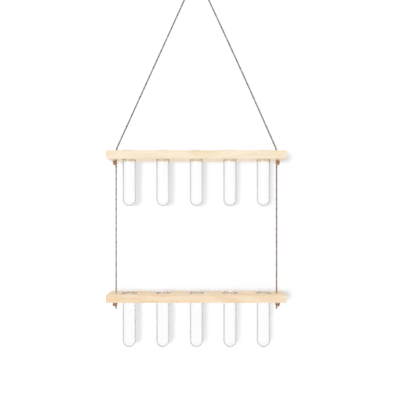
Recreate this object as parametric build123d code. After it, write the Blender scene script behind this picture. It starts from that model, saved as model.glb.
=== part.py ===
from build123d import *
import math
import os

# A wall-hanging propagation vase: two pine bars, one below the other on natural twine, each holding five
# round-bottomed glass test tubes. X runs along the bars, +Y points at the wall, +Z is up, in millimetres.
# The origin is the inside top of the twine's bight, where the nail or hook bears.

# The bars
bar_length = 320.0
bar_depth = 38.0
bar_height = 14.0
bar_edge_ease = 0.8  # the arrises taken off with sandpaper
tube_count = 5
end_tube_from_end = 38.0  # from the bar's end to the middle of its first tube
twine_hole_from_end = 14.0
twine_hole_diameter = 5.0

# The glass tubes
tube_diameter = 24.0
tube_wall = 1.2
tube_length = 100.0  # lip to round bottom
lip_reach = 2.4  # how far the lip stands out from the tube
lip_height = 1.8
lip_ease = 0.6  # the slope round the top of the lip
tube_clearance = 0.5  # round the tube in its hole

# The twine
twine_diameter = 3.0
twine_sides = 6  # flats drawn round the section
nail_diameter = 4.0  # what the bight hangs on
nail_flat = 0.2  # the level run over the nail, between its two bends
bend_run_share = 0.45  # of the shorter run beside a bend
mouth_bend = 4.0  # the turn over the edge of a twine hole
bight_drop = 24.0  # from the origin to the bight's ends
running_gap = 0.3  # between pieces that move against each other

# Heights and the right strand's slight bow
upper_bar_drop = 319.0  # from the origin to the upper bar's top
tier_gap = 242.0  # from the upper bar's underside to the lower bar's top
bow_x = 73.6
bow_drop = 151.0
stem_rise = 2.0  # how far the lower knots' twine stands up out of the lower bar
cut_end = 2.5  # the twine is trimmed off short below the lowest knots

# The overhand knot, whose bulk lies towards the bar's end. Its route is in shares of the pitch of its turns, from
# the middle outwards and down, before the knot is turned to its facing: the distance towards the bar's end first,
# then the depth and the height. The upper half is the same, turned half round about the line to the bar's end.
knot_slack = 0.86  # air between the knotted turns
knot_facing = 30.0  # degrees that the knot is turned round its twine
knot_half_shares = (
    (-0.6, 0.65, 0.5),
    (0.0, 1.05, 0.95),
    (0.85, 0.95, 1.1),
    (1.4, 0.35, 0.9),
    (1.45, -0.35, 0.4),
    (0.9, -0.55, -0.1),
    (0.2, -0.1, -0.65),
)
knot_neck = 0.7  # straight twine level with the knot's highest and lowest turns
knot_tail = 1.5  # straight twine below the lowest turn before it is free to lean
knot_turn = 20.0  # degrees that one short run of the knotted twine turns from the last

# Values that follow
twine_radius = twine_diameter / 2
knot_pitch = twine_diameter + knot_slack
upper_bar_top = -upper_bar_drop
upper_bar_bottom = upper_bar_top - bar_height
lower_bar_top = upper_bar_bottom - tier_gap
lower_bar_bottom = lower_bar_top - bar_height
twine_hole_x = bar_length / 2 - twine_hole_from_end
tube_hole_diameter = tube_diameter + 2 * tube_clearance
tube_pitch = (bar_length - 2 * end_tube_from_end) / (tube_count - 1)
tube_places = [(number - (tube_count - 1) / 2) * tube_pitch for number in range(tube_count)]
cut_overrun = bar_height / 2

knot_top = max(height for outward, depth, height in knot_half_shares) * knot_pitch + twine_radius
upper_knot_middle = upper_bar_bottom - running_gap - knot_top
upper_knot_exit = upper_knot_middle - knot_top - knot_tail
lower_knot_middle = lower_bar_bottom - running_gap - knot_top
stem_top = lower_bar_top + stem_rise

# Each strand comes over the nail, runs down to the mouth of its hole and turns down through the bar. Half the
# turn over the nail sets where the level run above it ends.
strand_lean = math.atan(twine_hole_x / (upper_bar_drop + twine_diameter))
nail_bend = (nail_diameter + twine_diameter) / 2
bight_half_width = nail_bend * math.tan((math.pi / 2 - strand_lean) / 2) + nail_flat / 2


def wooden_bar(top):
    """One bar with its arrises eased, its drilled tube holes and its two twine holes."""
    middle = top - bar_height / 2
    bar = Pos(0, 0, middle) * Box(bar_length, bar_depth, bar_height)
    bar = chamfer(bar.edges(), bar_edge_ease)
    drill_depth = bar_height + 2 * cut_overrun
    for place in tube_places:
        bar -= Pos(place, 0, middle) * Cylinder(tube_hole_diameter / 2, drill_depth)
    for place in (-twine_hole_x, twine_hole_x):
        bar -= Pos(place, 0, middle) * Cylinder(twine_hole_diameter / 2, drill_depth)
    return bar


def glass_tube(place, seat):
    """A round-bottomed tube, hung by its lip from a bar's top face."""
    outer = tube_diameter / 2
    inner = outer - tube_wall
    lip = outer + lip_reach
    round_start = lip_height - tube_length + outer
    straight_down = 270
    quarter_turn = 90
    with BuildSketch(Plane.XZ) as profile:
        with BuildLine():
            Line((0, round_start - outer), (0, round_start - inner))
            CenterArc((0, round_start), inner, straight_down, quarter_turn)
            Polyline(
                (inner, round_start),
                (inner, lip_height),
                (lip, lip_height),
                (lip, 0),
                (outer, 0),
                (outer, round_start),
            )
            CenterArc((0, round_start), outer, straight_down, quarter_turn)
        make_face()
        chamfer(profile.vertices().group_by(Axis.X)[-1].sort_by(Axis.Z)[-1], lip_ease)
    return Pos(place, 0, seat) * revolve(profile.sketch, Axis.Z)


def bend_radii(points):
    """The radius of each bend of a route, as large as the runs beside it allow."""
    radii = []
    for before, corner, after in zip(points, points[1:], points[2:]):
        run_in = Vector(*corner) - Vector(*before)
        run_out = Vector(*after) - Vector(*corner)
        half_turn = math.radians(run_in.get_angle(run_out)) / 2
        radii.append(bend_run_share * min(run_in.length, run_out.length) / math.tan(half_turn))
    return radii


def route_through(points, radii):
    """Straight runs joined by tangent arcs."""
    if len(points) == 2:
        return Wire([Edge.make_line(Vector(*points[0]), Vector(*points[1]))])
    with BuildLine() as route:
        FilletPolyline(*points, radius=radii)
    return route.wire()


def swept_twine(name, path, transition=Transition.TRANSFORMED):
    """Twine along a path, with a line of figures to check it by."""
    outline = RegularPolygon(twine_radius, twine_sides)
    section = Plane(origin=path @ 0, z_dir=path % 0) * outline
    solid = sweep(section, path, transition=transition)
    share = solid.volume / (outline.area * path.length)
    print(f"{name}: length {path.length:.1f} mm, volume {share:.3f} of section by length")
    return solid


def strand(name, points, radii=()):
    """A stretch of twine pulled tight along a route."""
    if radii:
        print(f"{name}: bend radii", ", ".join(f"{radius:.1f}" for radius in radii), "mm")
    return swept_twine(name, route_through(points, list(radii)))


def least_gap(path):
    """The least air between two stretches of one knotted twine, from points along it."""
    step = twine_radius / 2
    count = int(path.length / step)
    places = [path @ (number / count) for number in range(count + 1)]
    half_loop = math.pi * twine_diameter / 2
    skipped = int(half_loop / step)
    nearest = min(
        (places[first] - places[second]).length
        for first in range(len(places))
        for second in range(first + skipped, len(places))
    )
    return nearest - twine_diameter


def overhand_knot(name, side, middle, top_end, bottom_end):
    """An overhand knot in the twine at one end of a bar, drawn as a chain of short straight runs."""
    x = side * twine_hole_x
    facing = math.radians(knot_facing)
    below = [tuple(share * knot_pitch for share in place) for place in knot_half_shares]
    above = [(outward, -depth, -height) for outward, depth, height in reversed(below)]
    turns = []
    for outward, depth, height in above + below:
        turned_outward = outward * math.cos(facing) + depth * math.sin(facing)
        turned_depth = depth * math.cos(facing) - outward * math.sin(facing)
        turns.append((x + side * turned_outward, turned_depth, middle + height))
    neck = knot_top - knot_neck
    corners = [
        (x, 0, middle + knot_top),
        (x, 0, middle + neck),
        *turns,
        (x, 0, middle - neck),
        (x, 0, middle - knot_top),
    ]
    radii = bend_radii(corners)
    path = route_through(corners, radii)
    print(f"{name}: least gap {least_gap(path):.2f} mm, tightest bend {min(radii):.1f} mm")
    turned = sum(run.length / run.radius for run in path.edges().filter_by(GeomType.CIRCLE))
    runs = math.ceil(math.degrees(turned) / knot_turn)
    straight = knot_neck / path.length
    chain = [path @ (straight + (1 - 2 * straight) * number / runs) for number in range(runs + 1)]
    places = [Vector(x, 0, top_end), *chain, Vector(x, 0, bottom_end)]
    return swept_twine(name, Wire.make_polygon(places, close=False), Transition.RIGHT)


def twine_run(corner, target):
    """The point on the run from one corner to the next, at the height where the bight ends."""
    share = (corner[2] + bight_drop) / (corner[2] - target[2])
    return (corner[0] + share * (target[0] - corner[0]), 0, -bight_drop)


parts = {}

# The twine from the nail to the upper bar, the right strand by way of its bow
nail_corners = [(side * bight_half_width, 0, twine_radius) for side in (-1, 1)]
mouth_corners = [(side * twine_hole_x, 0, upper_bar_top) for side in (-1, 1)]
hole_ends = [(side * twine_hole_x, 0, upper_bar_bottom) for side in (-1, 1)]
bow = (bow_x, 0, -bow_drop)
left_start = twine_run(nail_corners[0], mouth_corners[0])
right_start = twine_run(nail_corners[1], bow)
parts["hanging_loop"] = strand("hanging_loop", [left_start, *nail_corners, right_start], (nail_bend, nail_bend))
left_points = [left_start, mouth_corners[0], hole_ends[0]]
parts["upper_rope_left"] = strand("upper_rope_left", left_points, (mouth_bend,))
right_points = [right_start, bow, mouth_corners[1], hole_ends[1]]
right_radii = (bend_radii(right_points)[0], mouth_bend)
parts["upper_rope_right"] = strand("upper_rope_right", right_points, right_radii)

# The bars and their tubes
for tier, bar_top in (("upper", upper_bar_top), ("lower", lower_bar_top)):
    parts[f"{tier}_bar"] = wooden_bar(bar_top)
    for number, place in enumerate(tube_places, 1):
        parts[f"{tier}_tube_{number}"] = glass_tube(place, bar_top)

# The knots that the bars rest on, and the twine between the bars
for side_name, side in (("left", -1), ("right", 1)):
    upper_name = f"upper_knot_{side_name}"
    upper_top = upper_bar_bottom - running_gap
    parts[upper_name] = overhand_knot(upper_name, side, upper_knot_middle, upper_top, upper_knot_exit)
    rope_name = f"lower_rope_{side_name}"
    rope_top = (side * twine_hole_x, 0, upper_knot_exit - running_gap)
    rope_bottom = (side * twine_hole_x, 0, stem_top + running_gap)
    parts[rope_name] = strand(rope_name, [rope_top, rope_bottom])
    lower_name = f"lower_knot_{side_name}"
    lower_end = lower_knot_middle - knot_top - cut_end
    parts[lower_name] = overhand_knot(lower_name, side, lower_knot_middle, stem_top, lower_end)

os.makedirs("parts", exist_ok=True)
for name, solid in parts.items():
    export_step(solid, f"parts/{name}.step")
print(len(parts), "nodes written")
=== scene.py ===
import math

import bpy
import numpy as np
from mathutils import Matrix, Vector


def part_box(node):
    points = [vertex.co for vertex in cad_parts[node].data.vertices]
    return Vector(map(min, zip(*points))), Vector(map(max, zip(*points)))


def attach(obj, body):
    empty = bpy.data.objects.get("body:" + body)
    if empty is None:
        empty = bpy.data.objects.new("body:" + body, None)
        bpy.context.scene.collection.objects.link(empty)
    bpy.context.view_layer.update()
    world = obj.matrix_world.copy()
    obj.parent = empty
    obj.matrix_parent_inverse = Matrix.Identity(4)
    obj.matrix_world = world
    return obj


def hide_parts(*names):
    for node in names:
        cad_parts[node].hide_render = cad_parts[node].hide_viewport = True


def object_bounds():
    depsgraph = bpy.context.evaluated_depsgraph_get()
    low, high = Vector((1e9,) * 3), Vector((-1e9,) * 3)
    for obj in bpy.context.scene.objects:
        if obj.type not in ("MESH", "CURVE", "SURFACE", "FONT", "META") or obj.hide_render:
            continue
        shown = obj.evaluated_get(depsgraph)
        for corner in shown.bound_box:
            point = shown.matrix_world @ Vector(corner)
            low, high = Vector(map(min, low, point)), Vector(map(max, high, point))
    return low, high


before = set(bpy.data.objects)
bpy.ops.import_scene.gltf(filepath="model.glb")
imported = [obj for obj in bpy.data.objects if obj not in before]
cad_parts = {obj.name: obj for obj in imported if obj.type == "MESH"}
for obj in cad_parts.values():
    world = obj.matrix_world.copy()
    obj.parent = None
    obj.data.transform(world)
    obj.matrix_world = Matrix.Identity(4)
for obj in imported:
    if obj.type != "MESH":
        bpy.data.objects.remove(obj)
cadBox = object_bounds()
mm = 0.001

# Two pine bars hang one below the other on natural twine against a white wall, each with five glass tubes.
# Metres, X along the bars, +Y into the wall, +Z up, origin inside the top of the twine's bight.


def hexToLinear(code):
    channels = [int(code[start : start + 2], 16) / 255 for start in (1, 3, 5)]
    linear = [c / 12.92 if c <= 0.04045 else ((c + 0.055) / 1.055) ** 2.4 for c in channels]
    return (*linear, 1.0)


def addNode(tree, kind, settings=None, links=None):
    node = tree.nodes.new(kind)
    for name, value in (settings or {}).items():
        if name == "stops":  # a ramp's places and hex colours
            while len(node.color_ramp.elements) < len(value):
                node.color_ramp.elements.new(0.5)
            for element, (place, code) in zip(node.color_ramp.elements, value):
                element.position = place
                element.color = hexToLinear(code)
        elif isinstance(name, int) or name in node.inputs:
            node.inputs[name].default_value = value
        else:
            setattr(node, name, value)
    for name, source in (links or {}).items():
        tree.links.new(source, node.inputs[name])
    return node


def emptyMaterial(name):
    material = bpy.data.materials.new(name)
    material.use_nodes = True
    material.node_tree.nodes.clear()
    return material, material.node_tree


def meshObject(name, vertices, faces, smooth=True):
    mesh = bpy.data.meshes.new(name)
    mesh.from_pydata([tuple(place) for place in vertices], [], faces)
    mesh.polygons.foreach_set("use_smooth", [smooth] * len(mesh.polygons))
    mesh.validate()
    mesh.update()
    made = bpy.data.objects.new(name, mesh)
    bpy.context.collection.objects.link(made)
    return made


# The camera stands square to the wall, at a height between the two bars
camera = {
    "place": (0.0066, -0.648, -0.4423),
    "lens": 32.03,
    "sensor": 36.0,
    "shiftUp": 0.05,
}
cameraData = bpy.data.cameras.new("frontCamera")
cameraData.lens = camera["lens"]
cameraData.sensor_width = camera["sensor"]
cameraData.sensor_fit = "HORIZONTAL"
cameraData.shift_y = camera["shiftUp"]
cameraData.clip_start = 0.01
frontCamera = bpy.data.objects.new("frontCamera", cameraData)
frontCamera.location = camera["place"]
frontCamera.rotation_euler = (math.pi / 2, 0, 0)
bpy.context.collection.objects.link(frontCamera)
bpy.context.scene.camera = frontCamera
print("camera set")


# The twine: one length of three-ply jute, cut into the stretches that move against each other
twine = {
    "diameter": 3.0 * mm,
    "plies": 3,
    "plyRadius": 0.7 * mm,
    "plyOffset": 0.79 * mm,  # from the twine's middle to a ply's
    "lay": 9.5 * mm,  # one whole turn of the plies
    "ringStep": 0.7 * mm,
    "ringSides": 8,
    "slubShare": 0.07,  # how much a ply swells and thins
    "slubLength": 11.0 * mm,
    "slubStretches": (1.0, 1.7, 0.6),  # three lengths of slub laid over each other
    "unevenShare": 0.05,  # of a ply's skin
    "fibreTwist": 0.45,  # the yarn's own twist, against the plies'
    "straysPerMetre": 1100,
    "strayLength": (1.6 * mm, 4.2 * mm),
    "strayRadius": 0.05 * mm,
    "strayThickness": (0.7, 1.3),
    "strayRound": 0.3,  # mm of pattern round a fibre
    "strayPlaces": 5,  # rings along a fibre
    "strayTip": 0.35,  # a fibre's tip, as a share of its root
    "strayRoot": 0.9,  # how far out in its ply a fibre starts
    "strayFan": 0.35,  # how unevenly the fibres leave a ply
    "strayAlong": (0.5, 1.3),
    "straySideways": 0.4,
    "strayOutward": (0.25, 0.75),
    "strayCurl": (-0.25, 0.1),
    "strayWaver": 0.18,
    "strayReach": 1.2 * mm,  # how far a stray fibre may stand out
    "streakShift": 90.0,  # mm of pattern that fibres start within
    "plyShift": 40.0,  # mm of pattern between one ply and the next
    "openRun": 3.0 * mm,  # the plies of a cut end open over this length
    "openReach": 0.35 * mm,
    "tuftFibres": 70,
    "tuftLength": 2.2 * mm,
    "tuftLengths": (0.55, 1.2),  # its shortest and longest fibres, as shares of that
    "tuftDepth": 1.5 * mm,  # inside the cut, where its fibres start
    "tuftRadius": 1.4 * mm,
    "tuftSpread": 0.28,
    "tuftWaver": 0.1,
    "tuftThickness": (1.0, 1.9),
    "stainHalf": 4.0 * mm,  # the knots are browner, as far as this from their middles
    "stainFade": 3.2 * mm,  # and the twine beyond them takes this far to lose it
    "stain": ("#876046", "#AD8465", "#C9A181"),
    # Round a ply and along it: streaks 0.2 by 4.5 mm, coarser than real fibres so that they show
    "streaksPerMm": (4.5, 0.22, 1.0),
    "patchesPerMm": (0.12, 0.045, 1.0),
    "patchShare": 0.3,
    "mottleLength": 6.0 * mm,  # lighter and darker patches of the whole twine
    "mottleShare": 0.5,
    "tintPlaces": (0.39, 0.5, 0.62),  # where the pattern takes its dark, middle and light colour
    "bumpHeight": 0.08 * mm,
    "tints": {
        "upper": ("juteTwineGrey", ("#727068", "#929189", "#B2B1A8")),
        "lowerLeft": ("juteTwineBeige", ("#8E8A7F", "#B0ADA3", "#CECBC2")),
        "lowerRight": ("juteTwinePinkish", ("#847361", "#A39280", "#C1B2A2")),
    },
}
barTop = {tier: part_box(f"{tier}_bar")[1].z for tier in ("upper", "lower")}
barBottom = {tier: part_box(f"{tier}_bar")[0].z for tier in ("upper", "lower")}
holeSide = 146.0 * mm  # from the middle to each twine hole
bightDrop = 24.0 * mm
runningGap = 0.3 * mm  # between stretches that move against each other
knot = {
    "pitch": 2.9 * mm,  # drawn tighter than the solid, whose turns need air between them
    "raised": 0.8 * mm,  # above the solid's middle, up against the bar
    "outboard": 0.9 * mm,  # of the turns, towards the bar's end
    "top": 5.746 * mm,  # from its middle to its highest turn
    "neck": 0.7 * mm,
    "tail": 1.5 * mm,
    "cutEnd": 2.5 * mm,
    "stemRise": 2.0 * mm,
    "facing": 30.0,  # degrees round the twine
    "halfShares": (  # towards the bar's end, depth and height of the lower half's turns, in pitches
        (-0.6, 0.65, 0.5),
        (0.0, 1.05, 0.95),
        (0.85, 0.95, 1.1),
        (1.4, 0.35, 0.9),
        (1.45, -0.35, 0.4),
        (0.9, -0.55, -0.1),
        (0.2, -0.1, -0.65),
    ),
}


def splineLine(name, points):
    curve = bpy.data.curves.new(name, "CURVE")
    curve.dimensions = "3D"
    curve.resolution_u = 24
    spline = curve.splines.new("NURBS")
    spline.points.add(len(points) - 1)
    for control, place in zip(spline.points, points):
        control.co = (*place, 1.0)
    spline.order_u = 3
    spline.use_endpoint_u = True
    carrier = bpy.data.objects.new(name, curve)
    bpy.context.collection.objects.link(carrier)
    bpy.context.view_layer.update()
    line = bpy.data.meshes.new_from_object(carrier)
    places = np.array([tuple(vertex.co) for vertex in line.vertices])
    bpy.data.objects.remove(carrier)
    bpy.data.curves.remove(curve)
    bpy.data.meshes.remove(line)
    return places


def evenPlaces(line, step):
    runs = np.linalg.norm(np.diff(line, axis=0), axis=1)
    along = np.concatenate([[0], np.cumsum(runs)])
    count = int(along[-1] / step) + 1
    wanted = np.linspace(0, along[-1], count + 1)
    return np.stack([np.interp(wanted, along, line[:, axis]) for axis in range(3)], 1), wanted


def unit(vectors):
    return vectors / np.linalg.norm(vectors, axis=-1, keepdims=True)


def carriedFrames(places):
    # The wall's direction is carried along the line without twisting about it
    tangents = unit(np.gradient(places, axis=0))
    wallward = np.array([0.0, 1.0, 0.0])
    normal = unit(wallward - tangents[0] * (wallward @ tangents[0]))
    normals = [normal]
    for tangent in tangents[1:]:
        normal = unit(normal - tangent * (normal @ tangent))
        normals.append(normal)
    normals = np.array(normals)
    return tangents, normals, np.cross(tangents, normals)


def angleFromWallward(tangent, direction):
    wallward = np.array([0.0, 1.0, 0.0])
    reference = unit(wallward - tangent * (wallward @ tangent))
    return math.atan2(direction @ np.cross(tangent, reference), direction @ reference)


def ringsRound(middles, radii, first, second, seam, sides):
    angles = seam + np.arange(sides) * 2 * math.pi / sides
    across = np.cos(angles)[None, :, None] * first[:, None]
    along = np.sin(angles)[None, :, None] * second[:, None]
    return middles[:, None] + radii[..., None] * (across + along)


def plyTube(middles, outward, radii, sides, cutTangents):
    tangents = unit(np.gradient(middles, axis=0))
    tangents[[0, -1]] = cutTangents  # the ends are cut square to the twine, not to the ply
    first = unit(outward - tangents * np.sum(outward * tangents, axis=1, keepdims=True))
    seam = math.pi  # on the inner side
    return ringsRound(middles, radii, first, np.cross(tangents, first), seam, sides)


def fibreTube(places, radius):
    # A three-sided hair that thins towards its tip
    tangents = unit(np.gradient(places, axis=0))
    anySide = np.array([0.37, 0.61, 0.70])  # a direction that no fibre runs in
    side = unit(np.cross(tangents, anySide))
    taper = np.linspace(1.0, twine["strayTip"], len(places))[:, None] * radius
    return ringsRound(places, taper, side, np.cross(tangents, side), 0.0, 3)


def addTube(parts, rings, alongMm, roundMm, skew=0.0):
    vertices, faces, uvs = parts
    start = len(vertices)
    count, sides = rings.shape[:2]
    vertices.extend(rings.reshape(-1, 3))
    for ring in range(count - 1):
        for side in range(sides):
            nextSide = (side + 1) % sides
            a = start + ring * sides
            b = a + sides
            faces.append((a + side, a + nextSide, b + nextSide, b + side))
            low, high = alongMm[ring], alongMm[ring + 1]
            left, right = side * roundMm / sides, (side + 1) * roundMm / sides
            uvs.extend((left + skew * low, low, right + skew * low, low))
            uvs.extend((right + skew * high, high, left + skew * high, high))
    for end, order in ((0, range(sides - 1, -1, -1)), (count - 1, range(sides))):
        faces.append(tuple(start + end * sides + side for side in order))
        uvs.extend((0.0, alongMm[end]) * sides)


def addHair(parts, rng, hair, reach, thickness):
    rings = fibreTube(hair, twine["strayRadius"] * rng.uniform(*thickness))
    pattern = np.linspace(0, reach / mm, len(hair)) + rng.uniform(0, twine["streakShift"])
    addTube(parts, rings, pattern, twine["strayRound"])


def addPlies(parts, rng, places, along, frames, phase, tufted):
    tangents, normals, sideways = frames
    roundMm = 2 * math.pi * twine["plyRadius"] / mm
    plyPaths = []
    for ply in range(twine["plies"]):
        angles = phase + 2 * math.pi * (ply / twine["plies"] + along / twine["lay"])
        outward = np.cos(angles)[:, None] * normals + np.sin(angles)[:, None] * sideways
        waves = sum(
            np.sin(along * 2 * math.pi / (twine["slubLength"] * stretch) + rng.uniform(0, 2 * math.pi))
            for stretch in twine["slubStretches"]
        )
        swell = 1 + twine["slubShare"] * waves / len(twine["slubStretches"])
        middles = places + outward * twine["plyOffset"]
        if tufted:  # the cut plies open a little
            opening = np.clip((along - along[-1] + twine["openRun"]) / twine["openRun"], 0, 1) ** 2
            middles = middles + outward * (opening * twine["openReach"])[:, None]
        uneven = 1 + twine["unevenShare"] * rng.uniform(-1, 1, (len(places), twine["ringSides"]))
        radii = twine["plyRadius"] * swell[:, None] * uneven
        rings = plyTube(middles, outward, radii, twine["ringSides"], tangents[[0, -1]])
        addTube(parts, rings, along / mm + twine["plyShift"] * ply, roundMm, twine["fibreTwist"])
        plyPaths.append((middles, outward))
    return plyPaths


def addStrays(parts, rng, places, length, frames, plyPaths, fuzzy):
    tangents, normals, sideways = frames
    steps = np.linspace(0, 1, twine["strayPlaces"])[:, None]
    farthest = twine["diameter"] / 2 + twine["strayReach"]
    endRings = int(twine["strayLength"][1] / twine["ringStep"]) + 2
    for stray in range(int(length * twine["straysPerMetre"])):
        middles, outward = plyPaths[rng.integers(twine["plies"])]
        index = int(rng.integers(endRings, len(places) - endRings))
        out = unit(outward[index] + rng.normal(0, twine["strayFan"], 3))
        root = middles[index] + out * twine["plyRadius"] * twine["strayRoot"]
        reach = rng.uniform(*twine["strayLength"])
        slant = tangents[index] * rng.choice((-1, 1)) * rng.uniform(*twine["strayAlong"])
        slant = slant + sideways[index] * rng.normal(0, twine["straySideways"])
        heading = unit(slant + out * rng.uniform(*twine["strayOutward"]))
        curl = out * rng.uniform(*twine["strayCurl"]) + rng.normal(0, twine["strayWaver"], 3)
        hair = root + heading * reach * steps + curl * reach * steps**2
        if hair[:, 2].min() < fuzzy[0] or hair[:, 2].max() > fuzzy[1]:
            continue
        distance = np.linalg.norm(hair[:, None] - places, axis=2).min(axis=1)
        if distance.max() > farthest or distance.min() < twine["plyRadius"]:
            continue
        addHair(parts, rng, hair, reach, twine["strayThickness"])


def addTuft(parts, rng, end, frames):
    down, normal, sideways = (axis[-1] for axis in frames)
    steps = np.linspace(0, 1, twine["strayPlaces"])[:, None]
    for fibre in range(twine["tuftFibres"]):
        angle, share = rng.uniform(0, 2 * math.pi), math.sqrt(rng.uniform(0, 1))
        out = math.cos(angle) * normal + math.sin(angle) * sideways
        root = end - down * twine["tuftDepth"] + out * share * twine["tuftRadius"]
        reach = twine["tuftLength"] * rng.uniform(*twine["tuftLengths"])
        spread = out * share * reach * twine["tuftSpread"] * steps**2
        waver = rng.normal(0, twine["tuftWaver"], 3) * reach * steps**2
        hair = root + down * reach * steps + spread + waver
        addHair(parts, rng, hair, reach, twine["tuftThickness"])


def twineStretch(name, points, phase, seed, fuzzy, tufted=False):
    rng = np.random.default_rng(seed)
    line = splineLine(name, points)
    places, along = evenPlaces(line, twine["ringStep"])
    frames = carriedFrames(places)
    tangents, normals, sideways = frames
    length = along[-1]
    vertices, faces, uvs = parts = ([], [], [])
    plyPaths = addPlies(parts, rng, places, along, frames, phase, tufted)
    addStrays(parts, rng, places, length, frames, plyPaths, fuzzy)
    if tufted:
        addTuft(parts, rng, places[-1], frames)
    made = meshObject(name, vertices, faces)
    layer = made.data.uv_layers.new(name="fibreMm")
    layer.data.foreach_set("uv", uvs)
    corners = np.empty(len(made.data.loops), dtype=np.int32)
    made.data.loops.foreach_get("vertex_index", corners)
    heights = np.array([vertex[2] for vertex in vertices])[corners]
    fromKnots = np.min([np.abs(heights - middle) for middle in knotMiddles.values()], axis=0)
    stain = np.clip(1 - (fromKnots - twine["stainHalf"]) / twine["stainFade"], 0, 1)
    layer = made.data.uv_layers.new(name="stainAndHeight")
    layer.data.foreach_set("uv", np.stack([stain, heights / twine["mottleLength"]], 1).ravel())
    endAngle = phase + 2 * math.pi * length / twine["lay"]
    endOut = math.cos(endAngle) * normals[-1] + math.sin(endAngle) * sideways[-1]
    return made, line, length, angleFromWallward(tangents[-1], endOut)


def knotTurns(x, middle):
    facing = math.radians(knot["facing"])
    side = math.copysign(1, x)
    below = [tuple(share * knot["pitch"] for share in place) for place in knot["halfShares"]]
    above = [(outward, -depth, -height) for outward, depth, height in reversed(below)]
    turns = []
    for outward, depth, height in above + below:
        turnedOutward = outward * math.cos(facing) + depth * math.sin(facing) + knot["outboard"]
        turnedDepth = depth * math.cos(facing) - outward * math.sin(facing)
        turns.append((x + side * turnedOutward, turnedDepth, middle + height))
    return turns


def juteTwine(name, colours):
    # Jute, three yarns laid up wet and left unbleached: dull, with long fibre streaks and no shine
    material, tree = emptyMaterial(name)
    fibrePlace = addNode(tree, "ShaderNodeUVMap", {"uv_map": "fibreMm"})
    streaks = addNode(
        tree, "ShaderNodeMapping", {"Scale": twine["streaksPerMm"]}, {"Vector": fibrePlace.outputs["UV"]}
    )
    fibreNoise = addNode(
        tree, "ShaderNodeTexNoise", {"Scale": 1.0, "Detail": 3.0, "Roughness": 0.6},
        {"Vector": streaks.outputs["Vector"]},
    )
    patches = addNode(
        tree, "ShaderNodeMapping", {"Scale": twine["patchesPerMm"]}, {"Vector": fibrePlace.outputs["UV"]}
    )
    patchNoise = addNode(
        tree, "ShaderNodeTexNoise", {"Scale": 1.0, "Detail": 2.0}, {"Vector": patches.outputs["Vector"]}
    )
    fibres = addNode(
        tree, "ShaderNodeMix", {"data_type": "FLOAT", 0: twine["patchShare"]},
        {2: fibreNoise.outputs["Fac"], 3: patchNoise.outputs["Fac"]},
    )
    marks = addNode(tree, "ShaderNodeUVMap", {"uv_map": "stainAndHeight"})
    mark = addNode(tree, "ShaderNodeSeparateXYZ", {}, {"Vector": marks.outputs["UV"]})
    mottle = addNode(
        tree, "ShaderNodeTexNoise", {"noise_dimensions": "1D", "Scale": 1.0, "Detail": 2.0},
        {"W": mark.outputs["Y"]},
    )
    blend = addNode(
        tree, "ShaderNodeMix", {"data_type": "FLOAT", 0: twine["mottleShare"]},
        {2: fibres.outputs["Result"], 3: mottle.outputs["Fac"]},
    )
    clean = addNode(
        tree, "ShaderNodeValToRGB", {"stops": tuple(zip(twine["tintPlaces"], colours))},
        {"Fac": blend.outputs["Result"]},
    )
    stained = addNode(
        tree, "ShaderNodeValToRGB", {"stops": tuple(zip(twine["tintPlaces"], twine["stain"]))},
        {"Fac": blend.outputs["Result"]},
    )
    tint = addNode(
        tree, "ShaderNodeMix", {"data_type": "RGBA"},
        {0: mark.outputs["X"], 6: clean.outputs["Color"], 7: stained.outputs["Color"]},
    )
    bump = addNode(
        tree, "ShaderNodeBump", {"Strength": 0.6, "Distance": twine["bumpHeight"]},
        {"Height": fibreNoise.outputs["Fac"]},
    )
    surface = addNode(
        tree,
        "ShaderNodeBsdfPrincipled",
        {
            "Roughness": 0.85,
            "IOR": 1.5,
            "Specular IOR Level": 0.3,
            "Sheen Weight": 0.25,
            "Sheen Roughness": 0.5,
        },
        {"Base Color": tint.outputs[2], "Normal": bump.outputs["Normal"]},
    )
    addNode(tree, "ShaderNodeOutputMaterial", {}, {"Surface": surface.outputs["BSDF"]})
    return material


twineTints = {tint: juteTwine(name, colours) for tint, (name, colours) in twine["tints"].items()}

bightPoints = {
    "leftEnd": (-13.779 * mm, 0, -bightDrop),
    "leftRun": (-9.71 * mm, 0, -14.93 * mm),
    "leftOverNail": (-2.356 * mm, 0, 1.5 * mm),
    "rightOverNail": (2.356 * mm, 0, 1.5 * mm),
    "rightRun": (9.98 * mm, 0, -14.81 * mm),
    "rightEnd": (14.268 * mm, 0, -bightDrop),
}
knotMiddles = {tier: bottom - runningGap - knot["top"] for tier, bottom in barBottom.items()}
upperKnotMiddle, lowerKnotMiddle = knotMiddles["upper"], knotMiddles["lower"]
upperKnotEnd = upperKnotMiddle - knot["top"] - knot["tail"]
lowerKnotEnd = lowerKnotMiddle - knot["top"] - knot["cutEnd"]
stemTop = barTop["lower"] + knot["stemRise"]
bowPoint = (73.6 * mm, 0, -151.0 * mm)
anyHeight = (-1.0, 1.0)


def layTwine(name, node, body, points, phase, seed, tint, fuzzy, tufted=False):
    made, line, length, endPhase = twineStretch(name, points, phase, seed, fuzzy, tufted)
    made.data.materials.append(twineTints[tint])
    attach(made, body)
    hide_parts(node)
    print(f"{name}: {length / mm:.1f} mm")
    return endPhase


startPhase = 0.6
bightEndPhase = layTwine(
    "twineBight", "hanging_loop", "hanger",
    list(bightPoints.values()), startPhase, 11, "upper", anyHeight,
)
mouthGap = 1.0 * mm  # no stray fibres this near a hole or a cut
swingGap = 2.5 * mm  # nor this near the bar that a knot swings under
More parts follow.
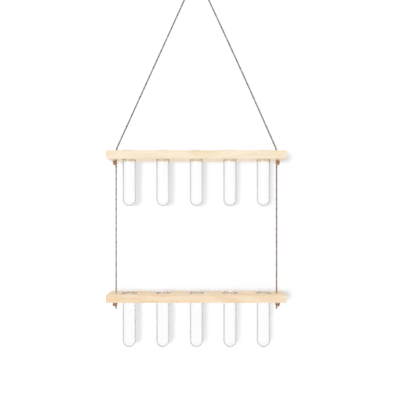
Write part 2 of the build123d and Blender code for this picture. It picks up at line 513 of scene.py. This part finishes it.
# Where a strand turns down, so that it clears its hole's edge
turnIn = {"outward": 0.8 * mm, "above": 3.0 * mm}
strandPhases = {"left": -startPhase, "right": bightEndPhase}
for sideName, side, seed in (("left", -1, 20), ("right", 1, 30)):
    x = side * holeSide
    start = bightPoints[f"{sideName}End"]
    mouth = (x + side * turnIn["outward"], 0, barTop["upper"] + turnIn["above"])
    holeEnd = (x, 0, barBottom["upper"])
    before = bowPoint if side > 0 else start
    toMouth = np.array(mouth) - np.array(before)
    nearMouth = tuple(np.array(mouth) - unit(toMouth) * (barTop["upper"] - barBottom["upper"]))
    points = [start, *([bowPoint] if side > 0 else []), nearMouth, mouth, holeEnd]
    label = sideName.capitalize()
    phase = layTwine(
        f"twineUpper{label}", f"upper_rope_{sideName}", "hanger",
        points, strandPhases[sideName], seed, "upper",
        (barTop["upper"] + mouthGap, start[2] - mouthGap),
    )
    points = [
        (x, 0, barBottom["upper"] - runningGap),
        (x, 0, upperKnotMiddle + knot["top"] - knot["neck"]),
        *knotTurns(x, upperKnotMiddle + knot["raised"]),
        (x, 0, upperKnotMiddle - knot["top"] + knot["neck"]),
        (x, 0, upperKnotEnd),
    ]
    phase = layTwine(
        f"knotUpper{label}", f"upper_knot_{sideName}", "upper_knots",
        points, phase, seed + 1, f"lower{label}",
        (upperKnotEnd + mouthGap, barBottom["upper"] - swingGap),
    )
    top, bottom = upperKnotEnd - runningGap, stemTop + runningGap
    points = [(x, 0, top), (x, 0, (top + bottom) / 2), (x, 0, bottom)]
    phase = layTwine(
        f"twineLower{label}", f"lower_rope_{sideName}", f"{sideName}_strand",
        points, phase, seed + 2, f"lower{label}",
        (bottom + mouthGap, top - mouthGap),
    )
    points = [
        (x, 0, stemTop),
        (x, 0, lowerKnotMiddle + knot["top"]),
        (x, 0, lowerKnotMiddle + knot["top"] - knot["neck"]),
        *knotTurns(x, lowerKnotMiddle + knot["raised"]),
        (x, 0, lowerKnotMiddle - knot["top"] + knot["neck"]),
        (x, 0, lowerKnotMiddle - knot["top"]),
        (x, 0, lowerKnotEnd),
    ]
    layTwine(
        f"knotLower{label}", f"lower_knot_{sideName}", "lower_knots",
        points, phase, seed + 3, f"lower{label}",
        (lowerKnotEnd, barBottom["lower"] - swingGap), True,
    )
print("twine laid")


# The bars are the CAD's own, in solid pine
pine = {
    "ringWidth": 2.6 * mm,
    # The share of latewood across a growth ring
    "ringStops": ((0.0, "#000000"), (0.5, "#1C1C1C"), (0.9, "#A0A0A0"), (1.0, "#202020")),
    "fibreLength": 60.0 * mm,
    "fibreWidth": 1.1 * mm,  # bundles of fibres, drawn this coarse so that they show
    "fibreStops": ((0.3, "#DFCDB4"), (0.55, "#FFFFFF")),
    "fibreShare": 0.35,
    "poreLength": 9.0 * mm,  # resin canals
    "poreWidth": 0.35 * mm,
    "poreStops": ((0.24, "#C9A57C"), (0.34, "#FFFFFF")),
    "poreShare": 0.5,
    "endGrainStops": ((0.75, "#FFFFFF"), (0.95, "#E9D3B4")),  # from the bar's sides to its ends
    "roughness": (0.5, 0.68),
    "bumpHeight": 0.06 * mm,
    "patchLength": 55.0 * mm,
    "patchWidth": 14.0 * mm,
    "waverLength": 90.0 * mm,  # the growth rings aren't true circles
    "waverWidth": 14.0 * mm,
    "waverReach": 4.5 * mm,
    "bars": {
        "upper_bar": {
            "name": "sandedPineUpper",
            "heart": (0.0, 31.0 * mm, -268.0 * mm),  # the log's middle
            "tilt": (0.0, 0.02, 0.03),  # radians between the log and the bar
            "stops": ((0.3, "#F1E0C0"), (0.5, "#F6E9CF"), (0.72, "#FAF0DC")),
            "latewood": "#E6C799",
        },
        "lower_bar": {
            "name": "sandedPineLower",
            "heart": (0.0, -26.0 * mm, -630.0 * mm),
            "tilt": (0.0, -0.03, 0.05),
            "stops": ((0.3, "#EECFA9"), (0.5, "#F4DEC0"), (0.72, "#F8E9D2")),
            "latewood": "#DFB988",
        },
    },
}


def sandedPine(bar):
    # Pine, planed and sanded, not varnished: satin at most, with soft growth rings and fine darker fibres
    material, tree = emptyMaterial(bar["name"])
    place = addNode(tree, "ShaderNodeTexCoord")
    offset = tuple(-v for v in bar["heart"])
    log = addNode(
        tree, "ShaderNodeMapping", {"Location": offset, "Rotation": bar["tilt"]},
        {"Vector": place.outputs["Object"]},
    )
    waver = addNode(
        tree, "ShaderNodeMapping",
        {"Scale": (1 / pine["waverLength"], 1 / pine["waverWidth"], 1 / pine["waverWidth"])},
        {"Vector": log.outputs["Vector"]},
    )
    waverNoise = addNode(
        tree, "ShaderNodeTexNoise", {"Scale": 1.0, "Detail": 2.0}, {"Vector": waver.outputs["Vector"]}
    )
    waverPush = addNode(
        tree, "ShaderNodeVectorMath", {"operation": "SCALE", "Scale": pine["waverReach"]},
        {0: waverNoise.outputs["Color"]},
    )
    grown = addNode(
        tree, "ShaderNodeVectorMath", {"operation": "ADD"},
        {0: log.outputs["Vector"], 1: waverPush.outputs["Vector"]},
    )
    rings = addNode(
        tree, "ShaderNodeTexWave",
        {
            "wave_type": "RINGS",
            "rings_direction": "X",
            "wave_profile": "SAW",
            "Scale": 2 * math.pi / (20 * pine["ringWidth"]),  # the wave node multiplies it by 20
            "Distortion": 0.0,
        },
        {"Vector": grown.outputs["Vector"]},
    )
    late = addNode(
        tree, "ShaderNodeValToRGB", {"stops": pine["ringStops"]}, {"Fac": rings.outputs["Fac"]}
    )
    patchPlace = addNode(
        tree, "ShaderNodeMapping",
        {"Scale": (1 / pine["patchLength"], 1 / pine["patchWidth"], 1 / pine["patchWidth"])},
        {"Vector": log.outputs["Vector"]},
    )
    patchNoise = addNode(
        tree, "ShaderNodeTexNoise", {"Scale": 1.0, "Detail": 3.0}, {"Vector": patchPlace.outputs["Vector"]}
    )
    earlywood = addNode(
        tree, "ShaderNodeValToRGB", {"stops": bar["stops"]}, {"Fac": patchNoise.outputs["Fac"]}
    )
    fibrePlace = addNode(
        tree, "ShaderNodeMapping",
        {"Scale": (1 / pine["fibreLength"], 1 / pine["fibreWidth"], 1 / pine["fibreWidth"])},
        {"Vector": log.outputs["Vector"]},
    )
    fibreNoise = addNode(
        tree, "ShaderNodeTexNoise", {"Scale": 1.0, "Detail": 4.0, "Roughness": 0.65},
        {"Vector": fibrePlace.outputs["Vector"]},
    )
    fibreTone = addNode(
        tree, "ShaderNodeValToRGB", {"stops": pine["fibreStops"]}, {"Fac": fibreNoise.outputs["Fac"]}
    )
    porePlace = addNode(
        tree, "ShaderNodeMapping",
        {"Scale": (1 / pine["poreLength"], 1 / pine["poreWidth"], 1 / pine["poreWidth"])},
        {"Vector": log.outputs["Vector"]},
    )
    poreNoise = addNode(
        tree, "ShaderNodeTexNoise", {"Scale": 1.0, "Detail": 1.0}, {"Vector": porePlace.outputs["Vector"]}
    )
    poreTone = addNode(
        tree, "ShaderNodeValToRGB", {"stops": pine["poreStops"]}, {"Fac": poreNoise.outputs["Fac"]}
    )
    ringTone = addNode(
        tree, "ShaderNodeMix", {"data_type": "RGBA", 7: hexToLinear(bar["latewood"])},
        {0: late.outputs["Color"], 6: earlywood.outputs["Color"]},
    )
    fibred = addNode(
        tree, "ShaderNodeMix", {"data_type": "RGBA", "blend_type": "MULTIPLY", 0: pine["fibreShare"]},
        {6: ringTone.outputs[2], 7: fibreTone.outputs["Color"]},
    )
    pored = addNode(
        tree, "ShaderNodeMix", {"data_type": "RGBA", "blend_type": "MULTIPLY", 0: pine["poreShare"]},
        {6: fibred.outputs[2], 7: poreTone.outputs["Color"]},
    )
    facing = addNode(tree, "ShaderNodeNewGeometry")
    across = addNode(tree, "ShaderNodeSeparateXYZ", {}, {"Vector": facing.outputs["True Normal"]})
    endShare = addNode(tree, "ShaderNodeMath", {"operation": "ABSOLUTE"}, {0: across.outputs["X"]})
    endGrain = addNode(
        tree, "ShaderNodeValToRGB", {"stops": pine["endGrainStops"]}, {"Fac": endShare.outputs["Value"]}
    )
    wood = addNode(
        tree, "ShaderNodeMix", {"data_type": "RGBA", "blend_type": "MULTIPLY", 0: 1.0},
        {6: pored.outputs[2], 7: endGrain.outputs["Color"]},
    )
    smoothest, roughest = pine["roughness"]
    gloss = addNode(
        tree, "ShaderNodeMapRange", {"To Min": smoothest, "To Max": roughest},
        {"Value": fibreNoise.outputs["Fac"]},
    )
    raised = addNode(
        tree, "ShaderNodeMath", {"operation": "MULTIPLY_ADD", 1: 0.5},
        {0: poreNoise.outputs["Fac"], 2: fibreNoise.outputs["Fac"]},
    )
    bump = addNode(
        tree, "ShaderNodeBump", {"Strength": 0.35, "Distance": pine["bumpHeight"]},
        {"Height": raised.outputs["Value"]},
    )
    surface = addNode(
        tree, "ShaderNodeBsdfPrincipled", {"IOR": 1.5, "Specular IOR Level": 0.35},
        {
            "Base Color": wood.outputs[2],
            "Roughness": gloss.outputs["Result"],
            "Normal": bump.outputs["Normal"],
        },
    )
    addNode(tree, "ShaderNodeOutputMaterial", {}, {"Surface": surface.outputs["BSDF"]})
    return material


for node, bar in pine["bars"].items():
    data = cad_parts[node].data
    data.materials.clear()
    data.materials.append(sandedPine(bar))
print("bars dressed")


# The glass tubes, turned from one profile that the frame's boxes size
tube = {
    "radius": 12.0 * mm,
    "wall": 1.2 * mm,
    "sides": 96,
    "arcSteps": 20,
    "seatGap": 0.05 * mm,  # keeps glass and wood from sharing a surface
    "neckFillet": 0.35 * mm,
    "mouthShare": 0.75,  # of the wall, rounded over at the mouth
    "ior": 1.47,
    "roughness": 0.01,
    # Painted shade: base colours from face on to edge on, greyer towards the outline
    "edgeShadeStops": ((0.42, "#FFFFFF"), (0.62, "#B4B4B9"), (0.92, "#737378")),
    "lipShadeStops": ((0.7, "#FFFFFF"), (0.9, "#EBEAEE"), (1.0, "#D8D6DC")),
    "lipClarity": 0.85,  # the worked lip is slightly milky
    "shadowTone": "#D9D9DB",  # what a lamp's light keeps at each surface
}


def arcPlaces(middle, radius, fromDegrees, toDegrees, steps):
    sweep = toDegrees - fromDegrees
    turns = [math.radians(fromDegrees + sweep * step / steps) for step in range(steps + 1)]
    return [(middle[0] + radius * math.cos(turn), middle[1] + radius * math.sin(turn)) for turn in turns]


def tubeProfile(outer, lipRadius, lipTop, length):
    inner = outer - tube["wall"]
    base = tube["seatGap"]
    roundStart = lipTop - length + outer
    roll = (lipTop - base) / 2
    steps = tube["arcSteps"]
    fillet = tube["neckFillet"]
    mouthRound = tube["wall"] * tube["mouthShare"]
    outside = arcPlaces((0, roundStart), outer, -90, 0, 3 * steps)
    neck = arcPlaces((outer + fillet, base - fillet), fillet, 180, 90, steps // 3)
    rolled = arcPlaces((lipRadius - roll, base + roll), roll, -90, 90, steps)
    mouth = arcPlaces((inner + mouthRound, lipTop - mouthRound), mouthRound, 90, 180, steps // 2)
    inside = arcPlaces((0, roundStart), inner, 0, -90, 3 * steps)
    return outside + neck + rolled + mouth + inside


def latheMesh(name, profile, sides):
    vertices, faces, ringStarts = [], [], []
    poleRadius = 1e-7
    for radius, height in profile:
        ringStarts.append((len(vertices), radius < poleRadius))
        if radius < poleRadius:
            vertices.append((0, 0, height))
            continue
        for side in range(sides):
            turn = 2 * math.pi * side / sides
            vertices.append((radius * math.cos(turn), radius * math.sin(turn), height))
    for (low, lowPole), (high, highPole) in zip(ringStarts, ringStarts[1:]):
        for side in range(sides):
            nextSide = (side + 1) % sides
            if lowPole:
                faces.append((low, high + nextSide, high + side))
            elif highPole:
                faces.append((low + side, low + nextSide, high))
            else:
                faces.append((low + side, low + nextSide, high + nextSide, high + side))
    return meshObject(name, vertices, faces)


def blownGlass(name, stops, clarity):
    # Borosilicate glass, drawn and fire polished: clear, with painted grey shade in its base colour where the
    # wall is seen edge on
    material, tree = emptyMaterial(name)
    path = addNode(tree, "ShaderNodeLightPath")
    slant = addNode(tree, "ShaderNodeLayerWeight", {"Blend": 0.5})
    # Painted shade: the base colour greys where the surface turns edge on, standing in for refraction
    edge = addNode(tree, "ShaderNodeValToRGB", {"stops": stops}, {"Fac": slant.outputs["Facing"]})
    glass = addNode(
        tree, "ShaderNodeBsdfPrincipled",
        {"Roughness": tube["roughness"], "IOR": tube["ior"], "Transmission Weight": clarity},
        {"Base Color": edge.outputs["Color"]},
    )
    clear = addNode(tree, "ShaderNodeBsdfTransparent", {"Color": hexToLinear(tube["shadowTone"])})
    toLamps = addNode(
        tree, "ShaderNodeMixShader", {},
        {0: path.outputs["Is Shadow Ray"], 1: glass.outputs["BSDF"], 2: clear.outputs["BSDF"]},
    )
    unhindered = addNode(tree, "ShaderNodeBsdfTransparent")
    toSky = addNode(
        tree, "ShaderNodeMixShader", {},
        {0: path.outputs["Is Diffuse Ray"], 1: toLamps.outputs["Shader"], 2: unhindered.outputs["BSDF"]},
    )
    addNode(tree, "ShaderNodeOutputMaterial", {}, {"Surface": toSky.outputs["Shader"]})
    return material


drawnGlass = blownGlass("borosilicateDrawn", tube["edgeShadeStops"], 1.0)
lipGlass = blownGlass("borosilicateFirePolished", tube["lipShadeStops"], tube["lipClarity"])
tubeMesh = None
glassTubes = []
for tier in ("upper", "lower"):
    for number in range(1, 6):
        node = f"{tier}_tube_{number}"
        low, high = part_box(node)
        seat = barTop[tier]
        name = f"glassTube{tier.capitalize()}{number}"
        if tubeMesh is None:
            lipRadius = (high.x - low.x) / 2
            profile = tubeProfile(tube["radius"], lipRadius, high.z - seat, high.z - low.z)
            made = latheMesh(name, profile, tube["sides"])
            tubeMesh = made.data
            tubeMesh.materials.append(drawnGlass)
            tubeMesh.materials.append(lipGlass)
            for face in tubeMesh.polygons:
                face.material_index = int(face.center.z > 0)
        else:
            made = bpy.data.objects.new(name, tubeMesh)
            bpy.context.collection.objects.link(made)
        made.location = ((low.x + high.x) / 2, (low.y + high.y) / 2, seat)
        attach(made, node)
        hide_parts(node)
        glassTubes.append(made)
print("tubes set in their holes")


# The stage: a white painted wall close behind, a pale floor far below, soft daylight from all round
stage = {
    "wallGap": 2.0 * mm,  # behind the bars' backs
    "wallHalfWidth": 1.6,
    "wallTop": 1.2,
    "floorDrop": 0.28,  # below the lowest tube
    "floorDepth": 2.6,
    "wallTone": "#949496",
    "floorTone": "#949494",
    "wallGlow": 0.42,  # lifts the wall to white where a camera or a mirror sees it
    "floorGlow": 0.6,
    "throughGlass": 0.98,  # the wall's brightness behind clear glass
    "skyStrength": 0.91,
    "windowPlace": (-1.35, -3.6, -0.45),  # level with the camera, so the bars' shadows fall behind them
    "windowSize": 1.3,
    "windowPower": 15.0,
    "bouncePlace": (-0.3, -1.2, -2.1),  # daylight thrown back up by a pale table and floor
    "bouncePower": 8.0,
    "wallWashPower": 170.0,  # the same window, as the wall alone takes it
}


def plainStage(name, corners, tone, glow):
    # Matt emulsion paint: no gloss, a trace of light of its own where it is looked at
    board = meshObject(name, corners, [(0, 1, 2, 3)], smooth=False)
    material, tree = emptyMaterial(f"mattPaint{name.capitalize()}")
    path = addNode(tree, "ShaderNodeLightPath")
    side = addNode(tree, "ShaderNodeNewGeometry")
    paint = addNode(tree, "ShaderNodeBsdfDiffuse", {"Color": hexToLinear(tone)})
    light = addNode(tree, "ShaderNodeEmission", {"Color": hexToLinear("#FFFFFF"), "Strength": glow})
    lit = addNode(
        tree, "ShaderNodeAddShader", {}, {0: paint.outputs["BSDF"], 1: light.outputs["Emission"]}
    )
    behindGlass = addNode(
        tree, "ShaderNodeEmission", {"Color": hexToLinear("#FFFFFF"), "Strength": stage["throughGlass"]}
    )
    looked = addNode(
        tree, "ShaderNodeMixShader", {},
        {
            0: path.outputs["Is Transmission Ray"],
            1: lit.outputs["Shader"],
            2: behindGlass.outputs["Emission"],
        },
    )
    through = addNode(tree, "ShaderNodeBsdfTransparent")
    bounced = addNode(
        tree, "ShaderNodeMath", {"operation": "GREATER_THAN", 1: 0.5}, {0: path.outputs["Diffuse Depth"]}
    )
    unseen = addNode(
        tree, "ShaderNodeMath", {"operation": "MAXIMUM"},
        {0: side.outputs["Backfacing"], 1: bounced.outputs["Value"]},
    )
    mixed = addNode(
        tree, "ShaderNodeMixShader", {},
        {0: unseen.outputs["Value"], 1: looked.outputs["Shader"], 2: through.outputs["BSDF"]},
    )
    addNode(tree, "ShaderNodeOutputMaterial", {}, {"Surface": mixed.outputs["Shader"]})
    board.data.materials.append(material)
    return board


def softWindow(name, place, power, receivers=(), blockers=()):
    lampData = bpy.data.lights.new(name, "AREA")
    lampData.shape = "SQUARE"
    lampData.size = stage["windowSize"]
    lampData.energy = power
    lamp = bpy.data.objects.new(name, lampData)
    lamp.location = place
    aim = (cadBox[0] + cadBox[1]) / 2
    aim.z = camera["place"][2]
    lamp.rotation_euler = (aim - lamp.location).to_track_quat("-Z", "Y").to_euler()
    bpy.context.collection.objects.link(lamp)
    for part, members in (("receiver", receivers), ("blocker", blockers)):
        if members:
            linked = bpy.data.collections.new(f"{name}{part.capitalize()}s")
            for member in members:
                linked.objects.link(member)
            setattr(lamp.light_linking, f"{part}_collection", linked)


wallY = cadBox[1].y + stage["wallGap"]
floorZ = cadBox[0].z - stage["floorDrop"]
half, top = stage["wallHalfWidth"], stage["wallTop"]
wall = plainStage(
    "wall",
    [(-half, wallY, floorZ), (half, wallY, floorZ), (half, wallY, top), (-half, wallY, top)],
    stage["wallTone"],
    stage["wallGlow"],
)
front = wallY - stage["floorDepth"]
plainStage(
    "floor",
    [(-half, front, floorZ), (half, front, floorZ), (half, wallY, floorZ), (-half, wallY, floorZ)],
    stage["floorTone"],
    stage["floorGlow"],
)
softWindow("windowLight", stage["windowPlace"], stage["windowPower"])
bars = [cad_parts[node] for node in pine["bars"]]
softWindow("wallWash", stage["windowPlace"], stage["wallWashPower"], [wall], bars + glassTubes)
softWindow("floorBounce", stage["bouncePlace"], stage["bouncePower"], bars)

world = bpy.data.worlds.new("plainSky")
bpy.context.scene.world = world
world.use_nodes = True
skyTree = world.node_tree
skyTree.nodes.clear()
skyPath = addNode(skyTree, "ShaderNodeLightPath")
skyUnbounced = addNode(
    skyTree, "ShaderNodeMath", {"operation": "LESS_THAN", 1: 0.5}, {0: skyPath.outputs["Diffuse Depth"]}
)
skyWhite = hexToLinear("#FFFFFF")
fill = addNode(skyTree, "ShaderNodeBackground", {"Color": skyWhite, "Strength": stage["skyStrength"]})
white = addNode(skyTree, "ShaderNodeBackground", {"Color": skyWhite, "Strength": 1.0})
sky = addNode(
    skyTree, "ShaderNodeMixShader", {},
    {0: skyUnbounced.outputs["Value"], 1: fill.outputs["Background"], 2: white.outputs["Background"]},
)
addNode(skyTree, "ShaderNodeOutputWorld", {}, {"Surface": sky.outputs["Shader"]})
bpy.context.scene.view_settings.view_transform = "Standard"
print("stage lit")
